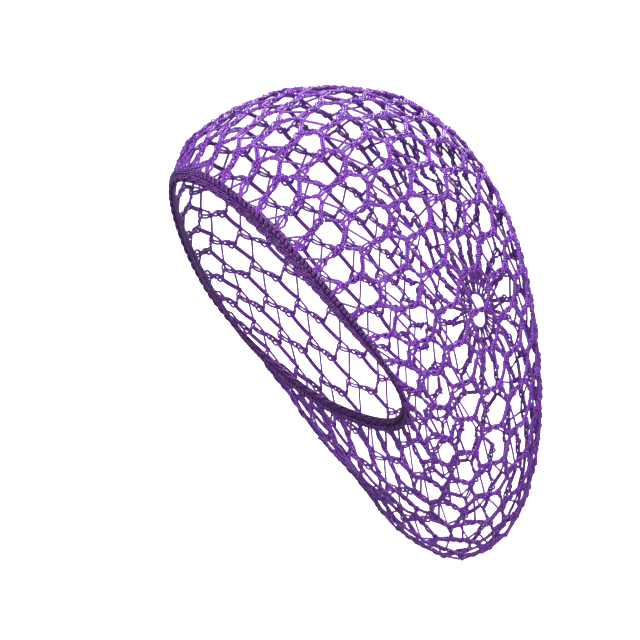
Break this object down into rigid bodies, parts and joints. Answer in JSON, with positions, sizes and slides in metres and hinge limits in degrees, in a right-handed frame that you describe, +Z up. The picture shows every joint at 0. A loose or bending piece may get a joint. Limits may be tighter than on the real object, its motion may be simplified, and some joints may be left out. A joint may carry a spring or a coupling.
{
  "type": "crochet hair snood",
  "caption": "Worn crochet hair net: an open-mesh bag that hangs behind the head, a narrow crocheted edge band, and a closing ring at the back.",
  "frame": {"origin": "middle of the head opening, in the plane where the net joins its edge band", "axes": "+X to the wearer's left, -Y to the face, +Z up, as worn on an upright head"},
  "size_m": [0.1899, 0.2576, 0.3356],
  "materials": {
    "net_yarn": "lustrous twisted violet yarn",
    "band_yarn": "lustrous twisted violet yarn, crocheted close"
  },
  "bodies": {
    "root": {"net": "net_yarn", "crochet_band": "band_yarn", "edge_chain": "band_yarn", "closing_ring": "net_yarn"}
  },
  "joints": []
}
